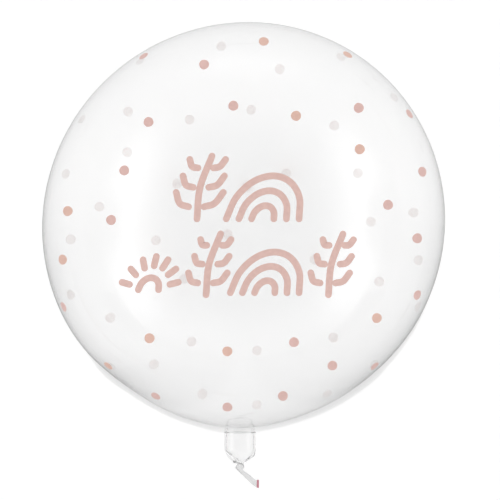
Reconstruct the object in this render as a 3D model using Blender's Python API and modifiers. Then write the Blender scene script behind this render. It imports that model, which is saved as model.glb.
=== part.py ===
"""A clear bubble balloon, blown up, tied off and lying on its back with its printed side up.

The whole balloon is one piece of film, sealed full of air, so it is modelled as one closed solid: the round
bubble, the shallow funnel that draws the film down to the neck, the short neck, its gathered end, the wrap
that ties it off and the folded tail beyond. Metres, +Z up. The origin is on the floor, at the middle of the
flat spot under the bubble, and the neck points along -Y.
"""

import math

import bmesh
import bpy
from mathutils import Vector, geometry

# The bubble
BUBBLE_DIAMETER = 0.400
FLAT_SPOT_DIAMETER = 0.034
FUNNEL_START = math.radians(55.0)  # from the neck's axis, where the funnel leaves the sphere
FUNNEL_RISE = 0.0092  # how far the funnel's tip stands out of the sphere
FUNNEL_EASE = 1.15  # 1 leaves the sphere with a slight kink, more leaves it softly

# The neck and its gathered end
NECK_DIAMETER = 0.030
NECK_SHIFT = -0.0035  # the neck sits a little to the left of the bubble's own axis
NECK_LENGTH = 0.0165
NECK_SUNK = 0.014  # how far the neck's tube runs up inside the bubble
GATHER_LENGTH = 0.0130
GATHER_FALL = 1.25  # over 1 makes the gathered end more of a cone than a dome
THROAT_DIAMETER = 0.0064

# The wrap that ties off the throat
WRAP_THICKNESS = 0.0034
WRAP_BITE = 0.0017  # how deep the wrap presses into the throat
WRAP_TILT = math.radians(22.0)

# The tail beyond the wrap
TAIL_ACROSS = 0.0195
TAIL_ALONG = 0.0205
TAIL_LEAN = math.radians(53.0)  # the way the tail's end points, from the neck's axis
TAIL_WIDTH = 0.0076
TAIL_THICKNESS = 0.0040
TAIL_FOLD = 0.0024  # how much wider the first fold under the wrap is
TAIL_FOLD_PLACE = 0.16  # as a share of the tail's length

# The gathers in the film
GATHER_COUNT = 7
THROAT_GATHER_DEPTH = 0.20  # as a share of the radius
TAIL_GATHER_DEPTH = 0.14
GATHER_TWIST = math.radians(70.0)

# How finely the round shapes are divided
BUBBLE_SEGMENTS = 60
CROWN_STEPS = 25
FUNNEL_STEPS = 11
FLAT_SPOT_SEGMENTS = 32
POINTS_PER_GATHER = 6
GATHER_STEPS = 9
TAIL_STEPS = 13
WRAP_SEGMENTS = 24
WRAP_SIDES = 10
MERGE_DISTANCE = 0.00001

FILM_COLOUR = (0.90, 0.90, 0.91, 1.0)
FILM_ROUGHNESS = 0.07

BUBBLE_RADIUS = BUBBLE_DIAMETER / 2
NECK_RADIUS = NECK_DIAMETER / 2
THROAT_RADIUS = THROAT_DIAMETER / 2
BUBBLE_HEIGHT = math.sqrt(BUBBLE_RADIUS**2 - (FLAT_SPOT_DIAMETER / 2) ** 2)


def clear_scene():
    """Starts from an empty scene, so that the script can be run again."""
    for old in list(bpy.data.objects):
        bpy.data.objects.remove(old, do_unlink=True)


def new_collection(name):
    """A collection of that name in the scene."""
    collection = bpy.data.collections.new(name)
    bpy.context.scene.collection.children.link(collection)
    return collection


def move_to(collection, thing):
    """Puts a newly added object in that collection alone."""
    for other in list(thing.users_collection):
        other.objects.unlink(thing)
    collection.objects.link(thing)


def film_material():
    """Clear stretched plastic film."""
    material = bpy.data.materials.new("clear_film")
    material.use_nodes = True
    shader = material.node_tree.nodes["Principled BSDF"]
    shader.inputs["Base Color"].default_value = FILM_COLOUR
    shader.inputs["Roughness"].default_value = FILM_ROUGHNESS
    shader.inputs["Metallic"].default_value = 0.0
    shader.inputs["Transmission Weight"].default_value = 0.85
    material.diffuse_color = (*FILM_COLOUR[:3], 0.35)
    return material


def film_radius(angle):
    """The film's distance from the bubble's middle at an angle from the neck's axis."""
    if angle >= FUNNEL_START:
        return BUBBLE_RADIUS
    return BUBBLE_RADIUS + FUNNEL_RISE * (1 - angle / FUNNEL_START) ** FUNNEL_EASE


def neck_root_depth():
    """How far from the bubble's middle the funnel meets the wall of the neck."""
    angle = math.asin(NECK_RADIUS / BUBBLE_RADIUS)
    return film_radius(angle) * math.cos(angle)


def bubble_profile():
    """Half the bubble's outline, from the crown down to the tip of the funnel, the neck's axis being -Z."""
    angles = [math.pi + (FUNNEL_START - math.pi) * i / CROWN_STEPS for i in range(CROWN_STEPS)]
    angles += [FUNNEL_START * (1 - i / FUNNEL_STEPS) for i in range(FUNNEL_STEPS + 1)]
    return [
        Vector((film_radius(a) * math.sin(a), 0.0, -film_radius(a) * math.cos(a)))
        for a in angles
    ]


def make_bubble(collection, material, frame):
    """The bubble and its funnel, turned about the neck's axis."""
    points = bubble_profile()
    mesh = bpy.data.meshes.new("bubble_balloon")
    mesh.from_pydata(points, [(i, i + 1) for i in range(len(points) - 1)], [])
    bubble = bpy.data.objects.new("bubble_balloon", mesh)
    collection.objects.link(bubble)
    bubble.parent = frame
    mesh.materials.append(material)
    screw = bubble.modifiers.new("turn", "SCREW")
    screw.axis = "Z"
    screw.steps = BUBBLE_SEGMENTS
    screw.render_steps = BUBBLE_SEGMENTS
    screw.use_merge_vertices = True
    screw.merge_threshold = MERGE_DISTANCE
    screw.use_smooth_shade = True
    return bubble


class Section:
    """One closed ring of the neck's tube: its middle, the way its width runs, its half sizes and its gathers."""

    def __init__(self, middle, across, half_width, half_thickness, depth=0.0, twist=0.0):
        self.middle = middle
        self.across = across.normalized()
        self.half_width = half_width
        self.half_thickness = half_thickness
        self.depth = depth
        self.twist = twist

    def ring(self, count):
        """The section's points, anticlockwise about the way to the tail."""
        thickness_way = Vector((0.0, 1.0, 0.0))
        points = []
        for i in range(count):
            turn = 2 * math.pi * i / count
            swell = 1 + self.depth * math.cos(GATHER_COUNT * turn + self.twist)
            points.append(
                self.middle
                + self.across * (self.half_width * swell * math.cos(turn))
                + thickness_way * (self.half_thickness * swell * math.sin(turn))
            )
        return points


def neck_sections():
    """The plain tube of the neck, from inside the bubble to where the gathers begin."""
    root = neck_root_depth()
    across = Vector((1.0, 0.0, 0.0))
    depths = [root - NECK_SUNK, root, root + NECK_LENGTH / 2]
    return [Section(Vector((NECK_SHIFT, 0.0, -d)), across, NECK_RADIUS, NECK_RADIUS) for d in depths]


def gather_sections():
    """The neck's end, drawn in to the throat as the film gathers and twists."""
    start = neck_root_depth() + NECK_LENGTH
    sections = []
    for i in range(GATHER_STEPS + 1):
        turn = math.pi / 2 * i / GATHER_STEPS
        share = math.sin(turn)
        radius = THROAT_RADIUS + (NECK_RADIUS - THROAT_RADIUS) * math.cos(turn) ** GATHER_FALL
        middle = Vector((NECK_SHIFT, 0.0, -(start + GATHER_LENGTH * share)))
        depth = THROAT_GATHER_DEPTH * share**3
        twist = GATHER_TWIST * i / GATHER_STEPS
        sections.append(Section(middle, Vector((1.0, 0.0, 0.0)), radius, radius, depth, twist))
    return sections


def throat_place():
    """The middle of the throat, where the wrap sits."""
    return Vector((NECK_SHIFT, 0.0, -(neck_root_depth() + NECK_LENGTH + GATHER_LENGTH)))


def tail_sections():
    """The film left over beyond the throat: it flattens, leans over and ends in a cut along the neck's way."""
    start = throat_place()
    end = start + Vector((TAIL_ACROSS, 0.0, -TAIL_ALONG))
    reach = (end - start).length / 3
    leaving = start + Vector((0.0, 0.0, -reach))
    arriving = end - Vector((math.sin(TAIL_LEAN), 0.0, -math.cos(TAIL_LEAN))) * reach
    path = geometry.interpolate_bezier(start, leaving, arriving, end, TAIL_STEPS + 1)
    sections = []
    for i in range(1, TAIL_STEPS + 1):
        share = i / TAIL_STEPS
        way = (path[min(i + 1, TAIL_STEPS)] - path[i - 1]).normalized()
        square_cut = Vector((-way.z, 0.0, way.x))
        end_cut = Vector((0.0, 0.0, 1.0))
        across = square_cut.lerp(end_cut, share**3)
        fold = TAIL_FOLD * math.exp(-(((share - TAIL_FOLD_PLACE) / TAIL_FOLD_PLACE) ** 2))
        width = THROAT_DIAMETER + (TAIL_WIDTH - THROAT_DIAMETER) * share + fold
        thickness = THROAT_DIAMETER + (TAIL_THICKNESS - THROAT_DIAMETER) * share
        depth = THROAT_GATHER_DEPTH + (TAIL_GATHER_DEPTH - THROAT_GATHER_DEPTH) * share
        sections.append(Section(path[i], across, width / 2, thickness / 2, depth, GATHER_TWIST))
    return sections


def loft(name, sections):
    """A closed mesh through the sections, with flat ends."""
    count = GATHER_COUNT * POINTS_PER_GATHER
    shape = bmesh.new()
    rings = [[shape.verts.new(p) for p in section.ring(count)] for section in sections]
    for upper, lower in zip(rings, rings[1:]):
        for i in range(count):
            after = (i + 1) % count
            shape.faces.new((upper[i], upper[after], lower[after], lower[i]))
    shape.faces.new(rings[0])
    shape.faces.new(rings[-1])
    bmesh.ops.recalc_face_normals(shape, faces=shape.faces)
    mesh = bpy.data.meshes.new(name)
    shape.to_mesh(mesh)
    shape.free()
    return mesh


def make_neck(collection, material, frame):
    """The neck, its gathered end and the tail, as one tube of film."""
    mesh = loft("neck_and_tail", neck_sections() + gather_sections() + tail_sections())
    mesh.materials.append(material)
    neck = bpy.data.objects.new("neck_and_tail", mesh)
    collection.objects.link(neck)
    neck.parent = frame
    return neck


def make_wrap(collection, material, frame):
    """The turn of film that ties off the throat, a little tilted as a hand leaves it."""
    thickness = WRAP_THICKNESS / 2
    bpy.ops.mesh.primitive_torus_add(
        major_segments=WRAP_SEGMENTS,
        minor_segments=WRAP_SIDES,
        major_radius=THROAT_RADIUS + thickness - WRAP_BITE,
        minor_radius=thickness,
    )
    wrap = bpy.context.object
    wrap.name = "wrap"
    wrap.data.materials.append(material)
    move_to(collection, wrap)
    wrap.parent = frame
    wrap.location = throat_place()
    wrap.rotation_euler = (0.0, WRAP_TILT, 0.0)
    return wrap


def make_flat_spot(collection, material):
    """A disc inside the bubble's underside that rounds out its facets where it touches the floor."""
    height = BUBBLE_RADIUS - BUBBLE_HEIGHT
    bpy.ops.mesh.primitive_cylinder_add(
        vertices=FLAT_SPOT_SEGMENTS,
        radius=FLAT_SPOT_DIAMETER / 2,
        depth=2 * height,
        location=(0.0, 0.0, 0.0),
    )
    spot = bpy.context.object
    spot.name = "flat_spot"
    spot.data.materials.append(material)
    move_to(collection, spot)
    return spot


def make_floor_cutter(collection):
    """A block under the floor's level that shaves the bubble's underside flat."""
    side = 3 * FLAT_SPOT_DIAMETER
    bpy.ops.mesh.primitive_cube_add(size=side, location=(0.0, 0.0, -side / 2))
    cutter = bpy.context.object
    cutter.name = "floor_cutter"
    move_to(collection, cutter)
    return cutter


def hide_as_tool(tool):
    """Marks an object that only cuts or joins another."""
    tool.hide_render = True
    tool.display_type = "WIRE"


def combine(target, tool, operation):
    """Joins the tool to the target, or cuts it out."""
    boolean = target.modifiers.new(tool.name, "BOOLEAN")
    boolean.operation = operation
    boolean.solver = "EXACT"
    boolean.object = tool
    hide_as_tool(tool)


def main():
    clear_scene()
    parts = new_collection("bubble_balloon")
    tools = new_collection("cutters_and_joins")
    film = film_material()
    frame = bpy.data.objects.new("bubble_middle", None)
    parts.objects.link(frame)
    frame.location = (0.0, 0.0, BUBBLE_HEIGHT)
    frame.rotation_euler = (-math.pi / 2, 0.0, 0.0)
    bubble = make_bubble(parts, film, frame)
    combine(bubble, make_neck(tools, film, frame), "UNION")
    combine(bubble, make_wrap(tools, film, frame), "UNION")
    combine(bubble, make_flat_spot(tools, film), "UNION")
    combine(bubble, make_floor_cutter(tools), "DIFFERENCE")


main()
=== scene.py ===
import math

import bmesh
import bpy
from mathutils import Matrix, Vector, noise


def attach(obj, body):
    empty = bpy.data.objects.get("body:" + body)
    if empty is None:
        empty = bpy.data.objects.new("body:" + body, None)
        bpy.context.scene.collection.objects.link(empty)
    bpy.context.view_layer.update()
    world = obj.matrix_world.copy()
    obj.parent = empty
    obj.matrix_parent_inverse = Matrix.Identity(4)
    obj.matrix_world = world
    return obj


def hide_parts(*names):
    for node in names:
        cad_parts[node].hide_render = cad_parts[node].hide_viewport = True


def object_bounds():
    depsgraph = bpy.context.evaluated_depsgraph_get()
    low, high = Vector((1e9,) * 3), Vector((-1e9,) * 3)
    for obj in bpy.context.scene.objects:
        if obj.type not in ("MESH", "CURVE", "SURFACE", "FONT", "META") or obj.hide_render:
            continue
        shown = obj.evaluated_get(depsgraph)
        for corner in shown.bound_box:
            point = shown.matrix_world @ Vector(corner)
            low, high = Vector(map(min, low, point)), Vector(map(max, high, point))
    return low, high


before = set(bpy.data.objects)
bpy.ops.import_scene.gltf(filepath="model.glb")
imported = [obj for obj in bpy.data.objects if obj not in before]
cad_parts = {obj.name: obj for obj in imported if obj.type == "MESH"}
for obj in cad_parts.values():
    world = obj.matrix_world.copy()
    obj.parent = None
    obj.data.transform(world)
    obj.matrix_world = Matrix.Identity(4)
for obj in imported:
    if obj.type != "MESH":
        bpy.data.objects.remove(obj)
cad_low, cad_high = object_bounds()


# The bubble
# The real bubble is one seamless bag of clear stretch film, blown up until it is round and tight.
# The film is so thin that it is clear in the middle. Near the rim one looks along more of it, so the
# rim looks grey.
BUBBLE_RADIUS = 0.1992
BUBBLE_MIDDLE = Vector((0.0, 0.0, cad_high.z - cad_high.x))
NECK_WAY = Vector((0.0, -1.0, 0.0))
FILM_WALL = 0.00025
FLOOR_GAP = 0.00020
FILM_ROWS = 144
FILM_TURNS = 192
OVAL = 0.0023
SHOULDER_DIP = 0.0020
SHOULDER_LEAN = 0.0012
TIP_DRAW = 0.0029
COLLAR_GATHER = 0.00022
COLLAR_GATHERS = 22.0
GATHER_DRIFT = (2.0, 3.0)
WIDE_RIPPLE = (3.2, 0.00010)
FINE_RIPPLE = (9.0, 0.00004)
NEAR_AXIS = 0.05
AT_AN_END = 1e-6

# Places on the film, each as degrees from the neck's axis and how far it spreads about them.
SHOULDER = (37.0, 13.0)
LEANING_SHOULDER = (35.0, 12.0)
TIP = (0.0, 14.5)
COLLAR = (0.0, 11.0)


def bump(value, middle, width):
    """A smooth bump of height one."""
    return math.exp(-(((value - middle) / width) ** 2))


def neck_angle(way):
    """Degrees between a way out of the bubble's middle and the way to the neck."""
    return math.degrees(math.acos(max(-1.0, min(1.0, way.dot(NECK_WAY)))))


def ripple(way, fineness, height):
    """Soft unevenness over the film, of a fineness and a height."""
    return height * noise.noise(way * fineness)


def film_radius(way):
    """How far the film is from the middle: slightly oval, drawn out at the neck and faintly rippled."""
    angle = neck_angle(way)
    side = way.x / max(NEAR_AXIS, math.sin(math.radians(angle)))
    around = math.atan2(way.x, way.z)
    gathers = math.sin(COLLAR_GATHERS * around + ripple(way, *GATHER_DRIFT))
    radius = BUBBLE_RADIUS + OVAL * 2 * way.x * way.y
    radius -= SHOULDER_DIP * bump(angle, *SHOULDER)
    radius += SHOULDER_LEAN * side * bump(angle, *LEANING_SHOULDER)
    radius += TIP_DRAW * bump(angle, *TIP)
    radius += ripple(way, *WIDE_RIPPLE) + ripple(way, *FINE_RIPPLE)
    return radius + COLLAR_GATHER * gathers * bump(angle, *COLLAR)


def film_point(way, height=0.0):
    """The point on the outside of the film that way from the middle, or that height above it."""
    point = BUBBLE_MIDDLE + way * (film_radius(way) + height)
    point.z = max(point.z, FLOOR_GAP - height)
    return point


def way_from_neck(angle, around):
    """The way at an angle from the neck's axis, turned about it from the top side."""
    side = math.sin(angle)
    return Vector((side * math.sin(around), -math.cos(angle), side * math.cos(around)))


def turns_in(count):
    """The angles that part a full turn into even steps."""
    return [2 * math.pi * i / count for i in range(count)]


def without_repeats(corners):
    """The corners of a face, each of them once."""
    return [corner for n, corner in enumerate(corners) if corner not in corners[:n]]


def skin(shape, rings, flip=False, flat_rows=()):
    """Joins rings of points into a skin. A ring of one point closes an end, and flat rows keep an edge."""
    rows = [[shape.verts.new(point) for point in ring] for ring in rings]
    for number, (upper, lower) in enumerate(zip(rows, rows[1:])):
        longest = max(len(upper), len(lower))
        for i in range(longest):
            after = (i + 1) % longest
            corners = [upper[i % len(upper)], upper[after % len(upper)]]
            corners += [lower[after % len(lower)], lower[i % len(lower)]]
            corners = without_repeats(corners)
            face = shape.faces.new(corners if flip else corners[::-1])
            face.smooth = number not in flat_rows


def add_piece(name, shape, *materials):
    """Makes an object of a finished bmesh, with its materials in order."""
    mesh = bpy.data.meshes.new(name)
    shape.to_mesh(mesh)
    shape.free()
    for material in materials:
        mesh.materials.append(material)
    piece = bpy.data.objects.new(name, mesh)
    bpy.context.scene.collection.objects.link(piece)
    return piece


def clear_film(name, gloss, bend, clearness, haze=0.0):
    """Clear stretch film: light goes through and loses a little, and the outside is glossy."""
    material = bpy.data.materials.new(name)
    material.use_nodes = True
    nodes = material.node_tree.nodes
    shader = nodes["Principled BSDF"]
    shader.inputs["Base Color"].default_value = (clearness, clearness, clearness, 1.0)
    shader.inputs["Roughness"].default_value = 0.0
    shader.inputs["IOR"].default_value = bend
    shader.inputs["Transmission Weight"].default_value = 1.0
    shader.inputs["Coat Weight"].default_value = gloss
    shader.inputs["Coat Roughness"].default_value = 0.0
    shader.inputs["Coat IOR"].default_value = 1.5
    if haze > 0.0:
        depth = nodes.new("ShaderNodeVolumeAbsorption")
        depth.inputs["Color"].default_value = (0.0, 0.0, 0.0, 1.0)
        depth.inputs["Density"].default_value = haze
        surroundings = nodes["Material Output"].inputs["Volume"]
        material.node_tree.links.new(depth.outputs["Volume"], surroundings)
    return material


def film_ring(angle, height):
    """One ring of the bubble's film about the neck's axis, or the single point at either end."""
    if angle < AT_AN_END or angle > math.pi - AT_AN_END:
        return [film_point(way_from_neck(angle, 0.0), height)]
    return [film_point(way_from_neck(angle, turn), height) for turn in turns_in(FILM_TURNS)]


film_outside = clear_film("film_outside", gloss=1.0, bend=1.0, clearness=0.992)
film_inside = clear_film("film_inside", gloss=0.0, bend=1.0, clearness=0.992)
bubble_angles = [math.pi * i / FILM_ROWS for i in range(FILM_ROWS + 1)]
bubble_shape = bmesh.new()
skin(bubble_shape, [film_ring(angle, 0.0) for angle in bubble_angles])
outer_faces = len(bubble_shape.faces)
skin(bubble_shape, [film_ring(angle, -FILM_WALL) for angle in bubble_angles], True)
bubble_shape.faces.ensure_lookup_table()
for face in bubble_shape.faces[outer_faces:]:
    face.material_index = 1
bubble_film = add_piece("bubble_film", bubble_shape, film_outside, film_inside)
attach(bubble_film, "root")
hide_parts("bubble_balloon")


# The funnel
# Where the film is drawn down to the filling neck it stretches less, so it stays thicker and a little
# cloudy. It shows there outside the round of the bubble as a second, fainter skin, down to the neck.
FUNNEL_TOP = math.radians(70.0)
FUNNEL_FOOT = math.radians(4.35)
FUNNEL_STEPS = 72
FUNNEL_RADIUS = 0.19975
FUNNEL_START = 55.0
FUNNEL_RISE = 0.0090
FUNNEL_EASE = 1.15
FADE_FOOT = 56.0
FADE_LENGTH = 14.0
SKIN_GAP = 0.00006
TOP_GAP = 0.0001
LEFT_BULGE = 0.0029
RIGHT_BULGE = 0.0008
RIGHT_TUCK = 0.0017
LEFT_BULGE_PLACE = (43.0, 6.5)
RIGHT_BULGE_PLACE = (40.0, 4.0)
RIGHT_TUCK_PLACE = (13.0, 12.0)
NECK_SHIFT = -0.0035
NECK_SHIFT_REACH = math.radians(9.0)
LAST_STEP = math.radians(0.02)
CAP_SHARES = (0.02, 0.98, 1.0)
WELD_REACH = 0.000001


def ease(share):
    """A share from none to all that starts and ends gently."""
    share = max(0.0, min(1.0, share))
    return share * share * (3.0 - 2.0 * share)


def over_to_neck(point, angle):
    """Pushes a point near the funnel's foot over to the neck, which stands left of the bubble's axis."""
    point.x += NECK_SHIFT * ease(1.0 - (angle - FUNNEL_FOOT) / NECK_SHIFT_REACH)
    return point


def funnel_point(angle, around):
    """A point on the funnel's outside, which fades into the bubble's film at its top."""
    way = way_from_neck(angle, around)
    degrees = math.degrees(angle)
    left = max(0.0, -math.sin(around))
    right = max(0.0, math.sin(around))
    radius = FUNNEL_RADIUS + FUNNEL_RISE * max(0.0, 1.0 - degrees / FUNNEL_START) ** FUNNEL_EASE
    radius += LEFT_BULGE * left * bump(degrees, *LEFT_BULGE_PLACE)
    radius += RIGHT_BULGE * right * bump(degrees, *RIGHT_BULGE_PLACE)
    radius -= RIGHT_TUCK * right * bump(degrees, *RIGHT_TUCK_PLACE)
    film = film_radius(way) + SKIN_GAP + TOP_GAP * min(1.0, math.degrees(FUNNEL_TOP) - degrees)
    radius += (film - radius) * ease((degrees - FADE_FOOT) / FADE_LENGTH)
    return over_to_neck(BUBBLE_MIDDLE + way * max(radius, film), angle)


def funnel_lining(angle, around):
    """A point on the funnel's inside, just off the bubble's film."""
    return over_to_neck(film_point(way_from_neck(angle, around), SKIN_GAP), angle)


def weld(shape):
    """Joins a skin's meeting points and turns its faces outward."""
    bmesh.ops.remove_doubles(shape, verts=shape.verts, dist=WELD_REACH)
    bmesh.ops.recalc_face_normals(shape, faces=shape.faces)


funnel_angles = [FUNNEL_TOP + (FUNNEL_FOOT - FUNNEL_TOP) * i / FUNNEL_STEPS for i in range(FUNNEL_STEPS)]
funnel_angles += [FUNNEL_FOOT + LAST_STEP, FUNNEL_FOOT]
funnel_turns = turns_in(FILM_TURNS)
funnel_rings = [[funnel_lining(angle, turn) for turn in funnel_turns] for angle in reversed(funnel_angles)]
funnel_rings += [[funnel_point(angle, turn) for turn in funnel_turns] for angle in funnel_angles[1:]]
funnel_foot = list(zip(funnel_rings[-1], funnel_rings[0]))
funnel_rings += [[outer.lerp(inner, share) for outer, inner in funnel_foot] for share in CAP_SHARES]
funnel_shape = bmesh.new()
skin(funnel_shape, funnel_rings)
weld(funnel_shape)
funnel_film = clear_film("funnel_film", gloss=0.10, bend=1.0, clearness=1.0, haze=3.0)
funnel = add_piece("funnel_skin", funnel_shape, funnel_film)
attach(funnel, "root")


# The neck and its gathered end
# The filling neck is a short straight tube of the same film, welded to the funnel at a collar. Below it
# the film is gathered and drawn in to the throat, straight down the left side and rounder on the right.
NECK_WALL = 0.0020
NECK_POINTS = 112
GATHERS = 7
SMALL_GATHER = 0.4
THINNEST = 0.0001
EDGE_STEP = 0.00006

# Each row of the neck: down from the bubble's middle, left side, right side, half its depth, how far it
# is gathered and how far the gathers have turned.
NECK_ROWS = (
    (0.2026, -0.0182, 0.0110, 0.0144, 0.0, 0.0),
    (0.2080, -0.0188, 0.0116, 0.0149, 0.0, 0.0),
    (0.2130, -0.0189, 0.0117, 0.0149, 0.0, 0.0),
    (0.2190, -0.0189, 0.0117, 0.0149, 0.0, 0.0),
    (0.2230, -0.0189, 0.0117, 0.0148, 0.004, 0.2),
    (0.2246, -0.0186, 0.0117, 0.0143, 0.008, 0.3),
    (0.2262, -0.0166, 0.0113, 0.0133, 0.015, 0.4),
    (0.2280, -0.0146, 0.0111, 0.0120, 0.03, 0.55),
    (0.2298, -0.0125, 0.0100, 0.0104, 0.05, 0.7),
    (0.2316, -0.0105, 0.0084, 0.0087, 0.08, 0.9),
    (0.2334, -0.0085, 0.0062, 0.0068, 0.11, 1.1),
    (0.2350, -0.0070, 0.0034, 0.0050, 0.14, 1.3),
    (0.2364, -0.0060, 0.0004, 0.0037, 0.17, 1.5),
    (0.2376, -0.0059, -0.0005, 0.0032, 0.20, 1.7),
)


class Section:
    """One ring of a tube of film: its middle, the way its width runs, its half sizes, gathers and wall."""

    def __init__(self, middle, across, half_width, half_depth, gather, twist, wall):
        self.middle = middle
        self.across = across.normalized()
        self.half_width = half_width
        self.half_depth = half_depth
        self.gather = gather
        self.twist = twist
        self.wall = wall

    def ring(self, inset):
        """The section's points, on the outside or set in by a share of the wall."""
        points = []
        for turn in turns_in(NECK_POINTS):
            fold = math.cos(GATHERS * turn + self.twist)
            fold += SMALL_GATHER * math.cos(2 * GATHERS * turn - self.twist)
            swell = 1.0 + self.gather * fold / (1.0 + SMALL_GATHER)
            wide = max(THINNEST, self.half_width * swell - inset * self.wall)
            deep = max(THINNEST, self.half_depth * swell - inset * self.wall)
            sideways = self.across * (wide * math.cos(turn))
            points.append(self.middle + sideways + Vector((0, 0, deep * math.sin(turn))))
        return points


def section_at(depth, left, right, half_depth, gather=0.0, twist=0.0, wall=NECK_WALL):
    """A section square to the neck, between two places across it, that far from the bubble's middle."""
    middle = BUBBLE_MIDDLE + Vector(((left + right) / 2, -depth, 0.0))
    return Section(middle, Vector((1.0, 0.0, 0.0)), (right - left) / 2, half_depth, gather, twist, wall)


def almost(section, other):
    """A section a hair's breadth along from one to the next, so that an end's edge stays sharp."""
    step = EDGE_STEP / max(EDGE_STEP, (other.middle - section.middle).length)
    middle = section.middle.lerp(other.middle, step)
    across = section.across.lerp(other.across, step)
    width = section.half_width + (other.half_width - section.half_width) * step
    depth = section.half_depth + (other.half_depth - section.half_depth) * step
    return Section(middle, across, width, depth, section.gather, section.twist, section.wall)


def tube(name, sections, *materials):
    """A tube of film with a wall, open at both ends."""
    first = sections[0]
    last = sections[-1]
    sections = [first, almost(first, sections[1]), *sections[1:-1], almost(last, sections[-2]), last]
    rings = [section.ring(1.0) for section in reversed(sections)]
    rings += [section.ring(0.0) for section in sections]
    rings.append(last.ring(1.0))
    shape = bmesh.new()
    skin(shape, rings, False, (len(sections) - 1, 2 * len(sections) - 1))
    weld(shape)
    return add_piece(name, shape, *materials)


neck_film = clear_film("neck_film", gloss=0.45, bend=1.06, clearness=0.972)
neck = tube("neck", [section_at(*row) for row in NECK_ROWS], neck_film)
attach(neck, "root")

# The weld at the collar is a low round bead about the neck.
SEAM_DEPTH = 0.2068
SEAM_HALF_LENGTH = 0.0005
SEAM_PLACE = (-0.0190, 0.0118, 0.0151)
SEAM_BULGE = 0.0003
SEAM_WALL = 0.0004
SEAM_STEPS = 6

seam_sections = []
for i in range(SEAM_STEPS + 1):
    along = SEAM_HALF_LENGTH * math.sin(math.pi * i / SEAM_STEPS - math.pi / 2)
    section = section_at(SEAM_DEPTH + along, *SEAM_PLACE, wall=SEAM_WALL)
    section.half_width += SEAM_BULGE * math.sin(math.pi * i / SEAM_STEPS)
    section.half_depth += SEAM_BULGE * math.sin(math.pi * i / SEAM_STEPS)
    seam_sections.append(section)
seam_film = clear_film("seam_film", gloss=0.5, bend=1.2, clearness=0.87)
seam = tube("neck_seam", seam_sections, seam_film)
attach(seam, "root")

# On the left a spare fold of the pouch stands out past its crease as a thin flap. Its places are
# millimetres across and down from the bubble's middle.
FLAP_CREASE = ((-18.2, 224.6), (-15.6, 227.6), (-12.6, 230.6), (-9.6, 233.6), (-7.0, 236.4))
FLAP_EDGE = ((-18.4, 225.2), (-16.9, 229.6), (-14.2, 233.2), (-11.4, 235.2), (-8.6, 236.9))
FLAP_HALF_DEPTH = 0.0004
FLAP_WALL = 0.00012
FLAP_STEPS = 16
LAST_SHARE = 0.99999


def rounded(before, start, end, after, share):
    """The place at a share of the way from start to end on a smooth line through all four places."""
    return (
        start
        + (end - before) * (share * 0.5)
        + (before * 2 - start * 5 + end * 4 - after) * (share * share * 0.5)
        + (start * 3 - end * 3 + after - before) * (share**3 * 0.5)
    )


def between(places, share):
    """The place at a share of the way along a row of places, rounded off between them."""
    spot = min(max(share, 0.0), LAST_SHARE) * (len(places) - 1)
    n = int(spot)
    before = Vector(places[max(0, n - 1)])
    after = Vector(places[min(len(places) - 1, n + 2)])
    return rounded(before, Vector(places[n]), Vector(places[n + 1]), after, spot - n)


def flat_section(left, right, half_depth, gather, twist, wall):
    """A section between two places given in millimetres across and down from the bubble's middle."""
    middle = (left + right) / 2000
    across = (right - left) / 1000
    place = BUBBLE_MIDDLE + Vector((middle.x, -middle.y, 0.0))
    way = Vector((across.x, -across.y, 0.0))
    return Section(place, way, across.length / 2, half_depth, gather, twist, wall)


flap_sections = []
for i in range(FLAP_STEPS + 1):
    edge_place = between(FLAP_EDGE, i / FLAP_STEPS)
    crease_place = between(FLAP_CREASE, i / FLAP_STEPS)
    flap_sections.append(flat_section(edge_place, crease_place, FLAP_HALF_DEPTH, 0.0, 0.0, FLAP_WALL))
flap_film = clear_film("flap_film", gloss=0.4, bend=1.0, clearness=0.94)
flap = tube("pouch_flap", flap_sections, flap_film)
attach(flap, "root")


# The tail
# The film left over past the tie is folded flat, twisted once and springs off to the right, down to the
# place where it was cut. The cut end carries a rose edge line, the end of the print.
TAIL_LEFT = (
    (-5.3, 238.0), (-7.6, 240.0), (-8.1, 241.7), (-6.2, 244.0), (-2.8, 247.2),
    (1.2, 251.2), (4.8, 254.8), (8.6, 258.4), (12.2, 260.9), (15.2, 261.4),
)
TAIL_RIGHT = (
    (-0.4, 237.4), (0.2, 239.4), (0.4, 241.4), (-0.4, 243.8), (2.7, 246.4),
    (5.3, 248.3), (7.9, 250.2), (10.0, 252.3), (12.6, 253.5), (15.2, 253.6),
)
TAIL_STEPS = 60
TAIL_WALL = 0.0005
TAIL_END_DEPTH = 0.0008
TAIL_EXTRA_DEPTH = 0.0022
TAIL_THINNING = 1.3
TAIL_GATHER = 0.17
TAIL_GATHER_LOST = 0.14
TAIL_TWIST = 1.7
TAIL_TWIST_GAINED = 1.8
EDGE_LINE_START = 0.91
EDGE_LINE_STEPS = 6
EDGE_LINE_PROUD = 0.00008
EDGE_ROSE = (0.62, 0.26, 0.31)


def tail_section(share, grow=0.0):
    """The tail's folded section at a share of its length, or a little outside it."""
    left = between(TAIL_LEFT, share)
    right = between(TAIL_RIGHT, share)
    depth = TAIL_END_DEPTH + TAIL_EXTRA_DEPTH * (1.0 - share) ** TAIL_THINNING
    gather = TAIL_GATHER - TAIL_GATHER_LOST * share
    twist = TAIL_TWIST + TAIL_TWIST_GAINED * share
    section = flat_section(left, right, depth, gather, twist, TAIL_WALL)
    section.half_width += grow
    section.half_depth += grow
    return section


def shade(colour, red, green, blue):
    """A colour with each of its channels made a little stronger or weaker."""
    return (colour[0] * red, colour[1] * green, colour[2] * blue, 1.0)


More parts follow.
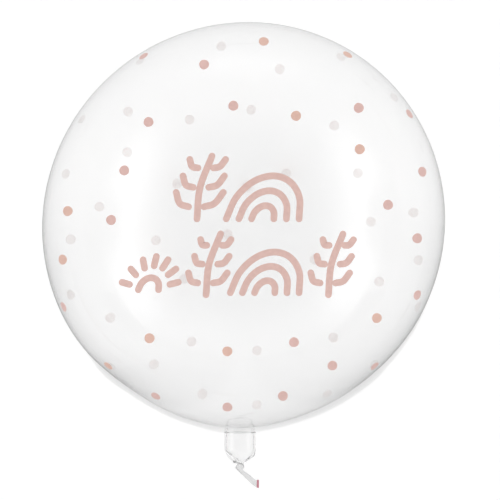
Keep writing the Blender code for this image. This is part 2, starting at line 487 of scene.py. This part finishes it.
def rose_ink(name, colour, painted_glow=0.0):
    """Matt rose printing ink, a little uneven in colour and thickness. It can carry a painted glow, an
    emission that stands in for light shining through it.
    """
    material = bpy.data.materials.new(name)
    material.use_nodes = True
    nodes = material.node_tree.nodes
    links = material.node_tree.links
    shader = nodes["Principled BSDF"]
    shader.inputs["Specular IOR Level"].default_value = 0.25
    # The emission is a painted glow that stands in for light shining through thin ink; it is off unless
    # asked for.
    shader.inputs["Emission Color"].default_value = (1.0, 0.97, 0.96, 1.0)
    shader.inputs["Emission Strength"].default_value = painted_glow
    place = nodes.new("ShaderNodeTexCoord")
    mottle = nodes.new("ShaderNodeTexNoise")
    mottle.inputs["Scale"].default_value = 260.0
    mottle.inputs["Detail"].default_value = 3.0
    links.new(place.outputs["Object"], mottle.inputs["Vector"])
    shades = nodes.new("ShaderNodeValToRGB")
    shades.color_ramp.elements[0].position = 0.35
    shades.color_ramp.elements[0].color = shade(colour, 0.96, 0.95, 0.95)
    shades.color_ramp.elements[1].position = 0.65
    shades.color_ramp.elements[1].color = shade(colour, 1.03, 1.04, 1.04)
    links.new(mottle.outputs["Fac"], shades.inputs["Fac"])
    links.new(shades.outputs["Color"], shader.inputs["Base Color"])
    dryness = nodes.new("ShaderNodeMapRange")
    dryness.inputs["To Min"].default_value = 0.42
    dryness.inputs["To Max"].default_value = 0.62
    links.new(mottle.outputs["Fac"], dryness.inputs["Value"])
    links.new(dryness.outputs["Result"], shader.inputs["Roughness"])
    grain = nodes.new("ShaderNodeBump")
    grain.inputs["Strength"].default_value = 0.15
    grain.inputs["Distance"].default_value = 0.0001
    links.new(mottle.outputs["Fac"], grain.inputs["Height"])
    links.new(grain.outputs["Normal"], shader.inputs["Normal"])
    return material


tail_film = clear_film("tail_film", gloss=0.6, bend=1.14, clearness=0.90)
tail = tube("tail", [tail_section(i / TAIL_STEPS) for i in range(TAIL_STEPS + 1)], tail_film)
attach(tail, "root")

edge_sections = []
for i in range(EDGE_LINE_STEPS + 1):
    share = EDGE_LINE_START + (1.0 - EDGE_LINE_START) * i / EDGE_LINE_STEPS
    edge_sections.append(tail_section(share, EDGE_LINE_PROUD))
edge_line = tube("tail_edge_line", edge_sections, rose_ink("edge_ink", EDGE_ROSE))
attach(edge_line, "root")


# The tie
# The throat is closed by one turn of the film itself, made by hand once the balloon is full. It is pulled
# tight round the gathers and locks under its own fold. Its film is tinted much darker than the rest of the
# balloon's film.
TIE_MIDDLE = -0.0051
TIE_REACH = 0.0045
TIE_HALF_HEIGHT = 0.0034
TIE_DEPTH = 0.2369
TIE_SLOPE = 0.30
TIE_WAVE = 0.0003
TIE_THICKNESS = 0.0008
TIE_TAPER = 0.0004
TIE_SQUASH = 0.85
TIE_LOOK_ROUND = 0.02
TIE_STEPS = 48
TIE_SIDES = 18


def tie_place(turn):
    """The middle of the tie's fold at an angle round the throat."""
    x = TIE_REACH * math.cos(turn)
    depth = TIE_DEPTH + TIE_SLOPE * x + TIE_WAVE * math.sin(2 * turn)
    return BUBBLE_MIDDLE + Vector((TIE_MIDDLE + x, -depth, TIE_HALF_HEIGHT * math.sin(turn)))


def tie_ring(turn):
    """A ring of points about the tie's fold, a little flattened and thinner on the right."""
    middle = tie_place(turn)
    ahead = (tie_place(turn + TIE_LOOK_ROUND) - tie_place(turn - TIE_LOOK_ROUND)).normalized()
    side = ahead.cross(Vector((0.0, 0.0, 1.0))).normalized()
    up = side.cross(ahead).normalized()
    thickness = TIE_THICKNESS - TIE_TAPER * math.cos(turn)
    ring = []
    for angle in turns_in(TIE_SIDES):
        sideways = side * (thickness * TIE_SQUASH * math.cos(angle))
        ring.append(middle + sideways + up * (thickness * math.sin(angle)))
    return ring


tie_shape = bmesh.new()
skin(tie_shape, [tie_ring(2 * math.pi * i / TIE_STEPS) for i in range(TIE_STEPS + 1)])
weld(tie_shape)
tie_film = clear_film("tie_film", gloss=0.5, bend=1.3, clearness=0.74)
tie = add_piece("throat_tie", tie_shape, tie_film)
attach(tie, "root")


# The confetti print
# Round dots about 10 mm across are printed on the outside in two rose shades, nearly alike on the front
# and the back, over a pale base coat. The base coat is all one sees of the far dots through the film, and
# it carries a faint painted glow, an emission that stands in for the light shining through it.
DOT_RADIUS = 0.0049
DOT_SIDES = 28
DOT_RINGS = (0.4, 0.8, 0.97, 1.0)
MOST_STRETCH = 2.0
WIDE_WOBBLE = 0.02
FINE_WOBBLE = 0.01
INK_GAP = 0.00005
INK_THICKNESS = 0.00008
FARTHEST_OUT = 0.972
NEAR_LOOKS_LARGER = 0.025
PRINT_PASSES = 4
PINK = (0.757, 0.508, 0.466)
PEACH = (0.775, 0.510, 0.426)
PALE = (0.91, 0.87, 0.86)
# The base coat's painted glow: an emission strength that stands in for light shining through the coat.
PALE_PAINTED_GLOW = 0.12

# The dots' places are millimetres right of and above the bubble's middle, as seen from above.
PINK_PLACES = (
    (-39, 157), (-101, 169), (-10, 116), (-94, 100), (114, 114), (165, 109), (-118, 52), (177, 51),
    (-131, 3), (143, 18), (172, -15), (172, -71), (50, -118), (88, -141), (39, -171), (-87, -171),
    (-16, -182), (136, -148), (-181, -84),
)
PEACH_PLACES = (
    (20, 180), (103, 167), (52, 106), (115, 73), (-174, 12), (-179, -36), (132, -94), (-93, -114),
    (-16, -127), (-134, -141),
)
BACK_PLACES = (
    (-66, 40), (42, 50), (-16, -10), (-87, -16), (-59, -54), (70, -35), (3, 37), (134, -57), (150, 126),
)
BACK_SCALE = 0.98
BACK_SHIFT = (-2.6, -0.6)


def print_way(x, y, front):
    """The way to a place on the print as seen from above, where the near side looks larger."""
    flat = Vector((x, y, 0.0)) / 1000
    radius = BUBBLE_RADIUS
    rise = 0.0
    for _ in range(PRINT_PASSES):
        nearer = NEAR_LOOKS_LARGER * rise
        spread = 1.0 - nearer if front else 1.0 + nearer
        reach = flat * spread / max(radius, flat.length * spread / FARTHEST_OUT)
        rise = math.sqrt(1.0 - reach.length_squared)
        way = Vector((reach.x, reach.y, rise if front else -rise))
        radius = film_radius(way)
    return way


def print_dot(shape, x, y, front, ink, number):
    """One dot of ink on the film, drawn a little long towards the rim as the film stretched there."""
    way = print_way(x, y, front)
    outward = Vector((way.x, way.y, 0.0)).normalized()
    along = (outward - way * outward.dot(way)).normalized()
    beside = way.cross(along)
    stretch = 1.0 / max(1.0 / MOST_STRETCH, abs(way.z))
    levels = []
    for height in (INK_GAP + INK_THICKNESS, INK_GAP):
        rings = [[shape.verts.new(film_point(way, height))]]
        for share in DOT_RINGS:
            ring = []
            for turn in turns_in(DOT_SIDES):
                wobble = WIDE_WOBBLE * math.sin(3 * turn + number) + FINE_WOBBLE * math.sin(7 * turn)
                size = DOT_RADIUS * share * (1.0 + wobble)
                offset = along * (size * stretch * math.cos(turn)) + beside * (size * math.sin(turn))
                place = (way + offset / BUBBLE_RADIUS).normalized()
                ring.append(shape.verts.new(film_point(place, height)))
            rings.append(ring)
        levels.append(rings)
    for level, rings in enumerate(levels):
        for upper, lower in zip(rings, rings[1:]):
            for i in range(DOT_SIDES):
                after = (i + 1) % DOT_SIDES
                corners = [upper[i % len(upper)], lower[i], lower[after], upper[after % len(upper)]]
                corners = without_repeats(corners)
                face = shape.faces.new(corners if level == 0 else corners[::-1])
                face.material_index = ink if level == 0 else 2
                face.smooth = True
    outer = levels[0][-1]
    inner = levels[1][-1]
    for i in range(DOT_SIDES):
        after = (i + 1) % DOT_SIDES
        face = shape.faces.new((outer[i], inner[i], inner[after], outer[after]))
        face.material_index = ink


dots_shape = bmesh.new()
for ink, places in enumerate((PINK_PLACES, PEACH_PLACES)):
    for number, (x, y) in enumerate(places):
        print_dot(dots_shape, x, y, True, ink, number)
        back_x = BACK_SHIFT[0] - BACK_SCALE * x
        back_y = BACK_SHIFT[1] + BACK_SCALE * y
        print_dot(dots_shape, back_x, back_y, False, ink, number)
for number, (x, y) in enumerate(BACK_PLACES):
    print_dot(dots_shape, x, y, False, number % 2, number)
pink_ink = rose_ink("pink_ink", PINK)
peach_ink = rose_ink("peach_ink", PEACH)
# The base coat is given a painted glow, an emission that stands in for light shining through it.
base_coat = rose_ink("pale_base_coat", PALE, PALE_PAINTED_GLOW)
dots = add_piece("confetti_dots", dots_shape, pink_ink, peach_ink, base_coat)
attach(dots, "root")


# The printed ornament
# Where the front carries its main print there are two rows of loose ornament in the same rose ink,
# drawn with one round pen: leafy sprigs, nested arches and a low sun, leaning a little to the right.
PEN = 6.7
LEAN = 0.24
STROKE_STEP = 1.4
CAP_STEPS = 5
NARROWEST = 0.03
PEN_SHARES = (1.0, 0.95, 0.0, -0.95, -1.0)
STEM_BOW = 0.07
LOWEST_LEAVES = 0.16
LEAVES_RISE = 0.62
LEAF_SHRINK = 0.18
LEAF_CLEARANCE = 1.15
LEAF_LIFT = 2.0
LEAF_MIDDLE = (0.5, 0.28)
LEAF_TIP = (0.82, 0.85)
ARCH_HEIGHT = 1.18
ARCH_STEPS = 6
RAY_HEIGHT = 1.15
RAY_REACHES = (10.5, 14.5, 18.5)
ORNAMENT_ROSE = (0.775, 0.530, 0.478)


def curve_through(points):
    """A smooth line through a few points of the print, in short even steps."""
    line = []
    ends = [points[0] * 2 - points[1], *points, points[-1] * 2 - points[-2]]
    for before, start, end, after in zip(ends, ends[1:], ends[2:], ends[3:]):
        steps = max(2, round((end - start).length / STROKE_STEP))
        line += [rounded(before, start, end, after, i / steps) for i in range(steps)]
    return [*line, points[-1]]


def leaning(x, y, foot):
    """A place on the print, pushed over to the right the higher it stands above its row's foot."""
    return Vector((x + LEAN * (y - foot), y))


def pen_path(line):
    """A stroke's places with their share of the pen's width, which closes to a round at both ends."""
    reach = PEN / 2
    first = (line[0] - line[1]).normalized()
    last = (line[-1] - line[-2]).normalized()
    caps = [math.cos(math.pi / 2 * i / CAP_STEPS) for i in range(CAP_STEPS)]
    path = [(line[0] + first * (reach * cap), math.sqrt(max(0.0, 1 - cap * cap)), -first) for cap in caps]
    for before, place, after in zip(line, line[1:], line[2:]):
        path.append((place, 1.0, (after - before).normalized()))
    caps.reverse()
    path += [(line[-1] + last * (reach * cap), math.sqrt(max(0.0, 1 - cap * cap)), last) for cap in caps]
    return path


def print_stroke(shape, points):
    """One pen stroke of ink on the film with round ends."""
    rows = []
    for place, share, ahead in pen_path(curve_through(points)):
        side = Vector((-ahead.y, ahead.x)) * (PEN / 2 * max(share, NARROWEST))
        spots = [place + side * n for n in PEN_SHARES]
        rows.append([print_way(spot.x, spot.y, True) for spot in spots])
    levels = []
    for height in (INK_GAP + INK_THICKNESS, INK_GAP):
        levels.append([[shape.verts.new(film_point(way, height)) for way in row] for row in rows])
    top, base = levels
    strips = len(PEN_SHARES) - 1
    for level, grid in enumerate(levels):
        for near, far in zip(grid, grid[1:]):
            for n in range(strips):
                corners = (near[n], near[n + 1], far[n + 1], far[n])
                face = shape.faces.new(corners if level == 0 else corners[::-1])
                face.material_index = level
                face.smooth = True
    for n in (0, strips):
        for i in range(len(rows) - 1):
            corners = (top[i][n], base[i][n], base[i + 1][n], top[i + 1][n])
            shape.faces.new(corners if n else corners[::-1])
    for i in (0, len(rows) - 1):
        for n in range(strips):
            corners = (top[i][n], top[i][n + 1], base[i][n + 1], base[i][n])
            shape.faces.new(corners if i else corners[::-1])


def print_sprig(shape, x, foot, height, pairs, leaf):
    """A stem with pairs of leaves that stand a little clear of it."""
    bow = height * STEM_BOW
    stem = ((x, 0.0), (x - bow, height * 0.5), (x, height))
    print_stroke(shape, [leaning(across, foot + up, foot) for across, up in stem])
    for n in range(pairs):
        level = foot + height * (LOWEST_LEAVES + LEAVES_RISE * n / max(1, pairs - 1))
        size = leaf * (1.0 - LEAF_SHRINK * n)
        for hand in (-1, 1):
            near = x - bow * 0.8 + hand * (PEN * LEAF_CLEARANCE)
            places = [leaning(near, level + LEAF_LIFT, foot)]
            for out, up in (LEAF_MIDDLE, LEAF_TIP):
                places.append(leaning(near + hand * size * out, level + size * up, foot))
            print_stroke(shape, places)


def print_arches(shape, x, foot, radii):
    """Arches one inside another, standing on their row."""
    for radius in radii:
        points = []
        for i in range(ARCH_STEPS + 1):
            turn = math.pi * i / ARCH_STEPS
            up = foot + ARCH_HEIGHT * radius * math.sin(turn)
            points.append(leaning(x + radius * math.cos(turn), up, foot))
        print_stroke(shape, points)


def print_sun(shape, x, foot, radius, rays):
    """A low sun: an arch with short rays about it."""
    print_arches(shape, x, foot, (radius,))
    for i in range(rays):
        turn = math.pi * (i + 0.5) / rays
        way = Vector((math.cos(turn), RAY_HEIGHT * math.sin(turn)))
        line = [Vector((x, foot)) + way * (radius + reach) for reach in RAY_REACHES]
        print_stroke(shape, [leaning(place.x, place.y, foot) for place in line])


ornament_shape = bmesh.new()
print_sprig(ornament_shape, x=-46, foot=4, height=62, pairs=3, leaf=19)
print_arches(ornament_shape, x=19, foot=4, radii=(11, 23.5, 36))
print_sun(ornament_shape, x=-94, foot=-66, radius=10, rays=7)
print_sprig(ornament_shape, x=-37, foot=-71, height=60, pairs=3, leaf=14)
print_arches(ornament_shape, x=21, foot=-69, radii=(10, 22, 34))
print_sprig(ornament_shape, x=84, foot=-71, height=60, pairs=3, leaf=14)
ornament_ink = rose_ink("ornament_ink", ORNAMENT_ROSE)
ornament = add_piece("printed_ornament", ornament_shape, ornament_ink, base_coat)
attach(ornament, "root")


# The floor
# The balloon lies on a plain pale studio floor of matt painted board. Only the glossy film sees the
# floor's second, darker brightness, which falls off to both sides as a lit floor does.
FLOOR_HALF_SIZE = 40.0
FLOOR_GREY = 0.75
FLOOR_GLOW = 0.35
MIRRORED_MIDDLE = 0.80
MIRRORED_SIDES = 0.47
MIRRORED_FALL = (0.105, 0.165)

floor_shape = bmesh.new()
bmesh.ops.create_grid(floor_shape, x_segments=1, y_segments=1, size=FLOOR_HALF_SIZE)
floor_paint = bpy.data.materials.new("floor_paint")
floor_paint.use_nodes = True
floor_nodes = floor_paint.node_tree.nodes
floor_links = floor_paint.node_tree.links
floor_shader = floor_nodes["Principled BSDF"]
floor_shader.inputs["Base Color"].default_value = (FLOOR_GREY, FLOOR_GREY, FLOOR_GREY, 1.0)
floor_shader.inputs["Roughness"].default_value = 0.9
floor_shader.inputs["Specular IOR Level"].default_value = 0.0
floor_shader.inputs["Emission Color"].default_value = (1.0, 1.0, 1.0, 1.0)
floor_shader.inputs["Emission Strength"].default_value = FLOOR_GLOW

floor_place = floor_nodes.new("ShaderNodeTexCoord")
floor_split = floor_nodes.new("ShaderNodeSeparateXYZ")
floor_sideways = floor_nodes.new("ShaderNodeMath")
floor_sideways.operation = "ABSOLUTE"
floor_fall = floor_nodes.new("ShaderNodeMapRange")
floor_fall.interpolation_type = "SMOOTHSTEP"
floor_fall.inputs["From Min"].default_value = MIRRORED_FALL[0]
floor_fall.inputs["From Max"].default_value = MIRRORED_FALL[1]
floor_fall.inputs["To Min"].default_value = MIRRORED_MIDDLE
floor_fall.inputs["To Max"].default_value = MIRRORED_SIDES
floor_mirrored = floor_nodes.new("ShaderNodeEmission")
floor_links.new(floor_place.outputs["Object"], floor_split.inputs["Vector"])
floor_links.new(floor_split.outputs["X"], floor_sideways.inputs[0])
floor_links.new(floor_sideways.outputs["Value"], floor_fall.inputs["Value"])
floor_links.new(floor_fall.outputs["Result"], floor_mirrored.inputs["Strength"])

floor_rays = floor_nodes.new("ShaderNodeLightPath")
floor_in_mirror = floor_nodes.new("ShaderNodeMath")
floor_in_mirror.operation = "GREATER_THAN"
floor_in_mirror.inputs[1].default_value = 0.5
floor_choice = floor_nodes.new("ShaderNodeMixShader")
floor_links.new(floor_rays.outputs["Glossy Depth"], floor_in_mirror.inputs[0])
floor_links.new(floor_in_mirror.outputs["Value"], floor_choice.inputs["Fac"])
floor_links.new(floor_shader.outputs["BSDF"], floor_choice.inputs[1])
floor_links.new(floor_mirrored.outputs["Emission"], floor_choice.inputs[2])
floor_links.new(floor_choice.outputs["Shader"], floor_nodes["Material Output"].inputs["Surface"])
floor = add_piece("floor", floor_shape, floor_paint)
floor.visible_glossy = False


# The light
# The balloon is lit evenly from all round. What its film mirrors is a plain studio: soft boxes at both
# sides, a pale far wall, a strip lamp low in front of it, and a dark ceiling with the camera in it.
EVEN_LIGHT = 1.15

world = bpy.data.worlds.new("studio")
bpy.context.scene.world = world
world.use_nodes = True
sky_nodes = world.node_tree.nodes
sky_links = world.node_tree.links
sky_nodes.clear()


def sky_math(operation, *values):
    """A math node in the sky, fed by numbers or by other nodes' outputs."""
    node = sky_nodes.new("ShaderNodeMath")
    node.operation = operation
    for socket, value in zip(node.inputs, values):
        if isinstance(value, (int, float)):
            socket.default_value = value
        else:
            sky_links.new(value, socket)
    return node.outputs[0]


def sky_step(value, start, end, bright_at_start, bright_at_end):
    """A smooth step from one brightness to another, between two places in the sky."""
    node = sky_nodes.new("ShaderNodeMapRange")
    node.interpolation_type = "SMOOTHSTEP"
    node.inputs["From Min"].default_value = start
    node.inputs["From Max"].default_value = end
    node.inputs["To Min"].default_value = bright_at_start
    node.inputs["To Max"].default_value = bright_at_end
    sky_links.new(value, node.inputs["Value"])
    return node.outputs["Result"]


sky_place = sky_nodes.new("ShaderNodeTexCoord")
sky_split = sky_nodes.new("ShaderNodeSeparateXYZ")
sky_links.new(sky_place.outputs["Generated"], sky_split.inputs["Vector"])
ahead = sky_split.outputs["Y"]
upward = sky_split.outputs["Z"]
sideways = sky_math("ABSOLUTE", sky_split.outputs["X"])

box_light = sky_step(sideways, 0.55, 0.90, 0.0, 1.4)
box_edge = sky_step(sideways, 0.93, 1.0, 1.0, 0.0)
box_height = sky_step(upward, -0.5, 0.5, 0.0, 1.0)
side_boxes = sky_math("MULTIPLY", sky_math("MULTIPLY", box_light, box_edge), box_height)

far_wall = sky_step(ahead, -0.2, 0.2, 0.50, 1.15)

strip_foot = sky_step(upward, -0.45, -0.30, 0.0, 1.0)
strip_top = sky_step(upward, -0.22, -0.08, 0.8, 0.0)
strip_ends = sky_step(sideways, 0.15, 0.40, 1.0, 0.0)
strip_place = sky_step(ahead, 0.5, 0.9, 0.0, 1.0)
strip_height = sky_math("MULTIPLY", strip_foot, strip_top)
strip = sky_math("MULTIPLY", strip_height, sky_math("MULTIPLY", strip_ends, strip_place))

ceiling = sky_step(upward, 0.2, 0.85, 1.0, 0.05)
underneath = sky_step(upward, -0.25, 0.05, 0.78, 1.0)
studio_walls = sky_math("ADD", sky_math("ADD", side_boxes, far_wall), strip)
mirrored = sky_math("MULTIPLY", studio_walls, sky_math("MULTIPLY", ceiling, underneath))

rays = sky_nodes.new("ShaderNodeLightPath")
in_mirror = sky_math("GREATER_THAN", rays.outputs["Glossy Depth"], 0.5)
even_sky = sky_math("MULTIPLY", sky_math("SUBTRACT", 1.0, in_mirror), EVEN_LIGHT)
sky_level = sky_math("ADD", even_sky, sky_math("MULTIPLY", in_mirror, mirrored))
sky_glow = sky_nodes.new("ShaderNodeBackground")
sky_out = sky_nodes.new("ShaderNodeOutputWorld")
sky_links.new(sky_level, sky_glow.inputs["Strength"])
sky_links.new(sky_glow.outputs["Background"], sky_out.inputs["Surface"])


# The camera
# It looks straight down on the balloon as it lies, from far enough off that the far side looks nearly
# as large as the near side.
PHOTO_SIZE = 500
METRES_PER_PIXEL = 0.4 / 404.3
MIDDLE_PIXEL = (243.6, 223.5)
CAMERA_AWAY = 8.0
CAMERA_REACH = 100.0
SENSOR = 36.0
MOST_BOUNCES = 24

camera_data = bpy.data.cameras.new("camera")
camera = bpy.data.objects.new("camera", camera_data)
bpy.context.scene.collection.objects.link(camera)
bpy.context.scene.camera = camera
camera_data.sensor_width = SENSOR
camera_data.lens = SENSOR * CAMERA_AWAY / (PHOTO_SIZE * METRES_PER_PIXEL)
camera_data.clip_end = CAMERA_REACH
camera.location = (
    (PHOTO_SIZE / 2 - MIDDLE_PIXEL[0]) * METRES_PER_PIXEL,
    (MIDDLE_PIXEL[1] - PHOTO_SIZE / 2) * METRES_PER_PIXEL,
    BUBBLE_MIDDLE.z + CAMERA_AWAY,
)

scene = bpy.context.scene
scene.view_settings.view_transform = "Standard"
scene.cycles.max_bounces = MOST_BOUNCES
scene.cycles.transmission_bounces = MOST_BOUNCES
scene.cycles.transparent_max_bounces = MOST_BOUNCES
